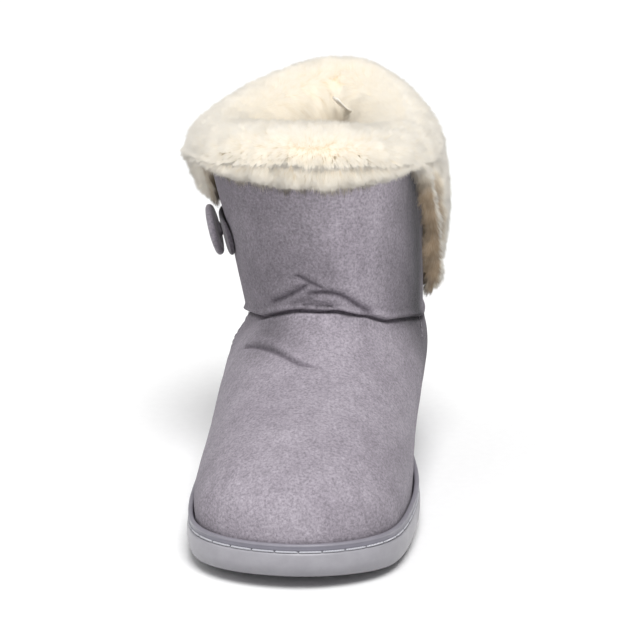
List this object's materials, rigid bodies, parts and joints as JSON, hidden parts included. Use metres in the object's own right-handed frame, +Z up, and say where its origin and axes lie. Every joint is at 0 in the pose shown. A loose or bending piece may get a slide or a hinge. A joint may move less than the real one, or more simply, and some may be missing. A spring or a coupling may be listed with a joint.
{
  "type": "bootie slipper",
  "caption": "Ankle-high suede-look slipper boot for the right foot: stitched cup sole, hollow upper, folded fur cuff, side button on a tab.",
  "frame": {"origin": "middle of the bounding box's base, on the ground under the sole", "axes": "+Z up, -Y towards the toe, +Y towards the heel, +X towards the inner side of the foot, -X towards the button side"},
  "size_m": [0.1156, 0.258, 0.1732],
  "materials": {
    "grey_rubber": "satin moulded rubber, with a recessed band and a stitch groove",
    "grey_suede": "matt microfibre suede with a short mottled nap",
    "cream_fur": "deep plush pile",
    "button_cloth": "matt covered button",
    "cream_tape": "smooth woven tape, blank"
  },
  "bodies": {
    "root": {"outsole": "grey_rubber", "insole": "cream_fur", "upper": "grey_suede", "cuff": "cream_fur", "button_tab": "grey_suede", "button": "button_cloth", "tape_loop": "cream_tape"}
  },
  "joints": []
}
